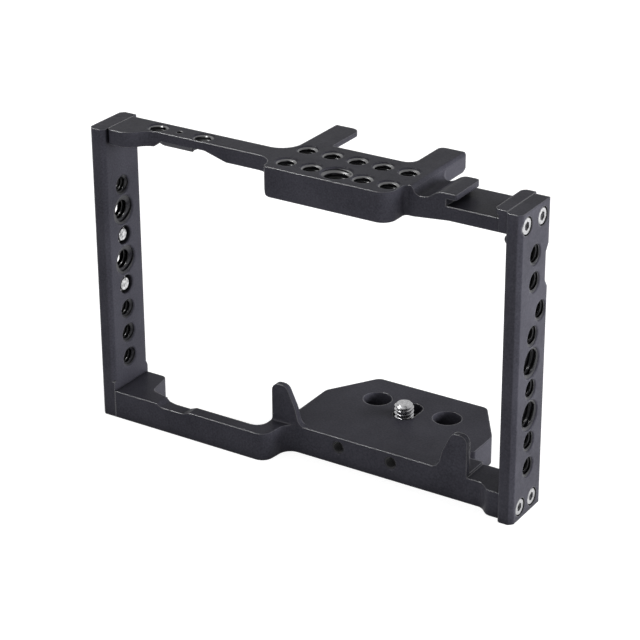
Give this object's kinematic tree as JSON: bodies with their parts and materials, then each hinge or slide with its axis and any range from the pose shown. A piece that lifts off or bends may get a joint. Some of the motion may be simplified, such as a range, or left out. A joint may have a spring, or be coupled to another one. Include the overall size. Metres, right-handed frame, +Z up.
{
  "type": "camera cage",
  "caption": "Open rectangular camera cage with side plates, hole block, cold shoe, rear prongs and a base plate with a sliding camera screw.",
  "frame": {"origin": "centre of the cage's footprint on the surface that it stands on", "axes": "+X to the right along the cage's width, +Y to the rear, +Z up"},
  "size_m": [0.1506, 0.0542, 0.1012],
  "materials": {
    "anodised_aluminium": "black anodised over a fine bead blast, satin",
    "cap_screw_steel": "turned stainless steel",
    "bright_steel": "turned steel, bright"
  },
  "bodies": {
    "frame": {"left_side_plate": "anodised_aluminium", "right_side_plate": "anodised_aluminium", "top_bar": "anodised_aluminium", "bottom_plate": "anodised_aluminium", "right_top_front_screw": "cap_screw_steel", "right_top_rear_screw": "cap_screw_steel", "right_bottom_front_screw": "cap_screw_steel", "right_bottom_rear_screw": "cap_screw_steel", "left_top_front_screw": "cap_screw_steel", "left_top_rear_screw": "cap_screw_steel", "left_bottom_front_screw": "cap_screw_steel", "left_bottom_rear_screw": "cap_screw_steel"},
    "upper_set": {"upper_set_screw": "bright_steel"},
    "lower_set": {"lower_set_screw": "bright_steel"},
    "slot_rider": {"screw_washer": "bright_steel"},
    "camera_bolt": {"camera_screw": "bright_steel"}
  },
  "joints": [
    {"name": "screw_slide", "type": "slide", "parent": "frame", "child": "slot_rider", "axis": [0, 1, 0], "range_m": [0, 0.005]},
    {"name": "screw_turn", "type": "hinge", "parent": "slot_rider", "child": "camera_bolt", "pos_m": [0.02005, 0.009, 0.0095], "axis": [0, 0, 1], "continuous": true},
    {"name": "upper_set_advance", "type": "slide", "parent": "frame", "child": "upper_set", "axis": [1, 0, 0], "range_m": [0, 0.0016]},
    {"name": "lower_set_advance", "type": "slide", "parent": "frame", "child": "lower_set", "axis": [1, 0, 0], "range_m": [0, 0.0016]}
  ]
}
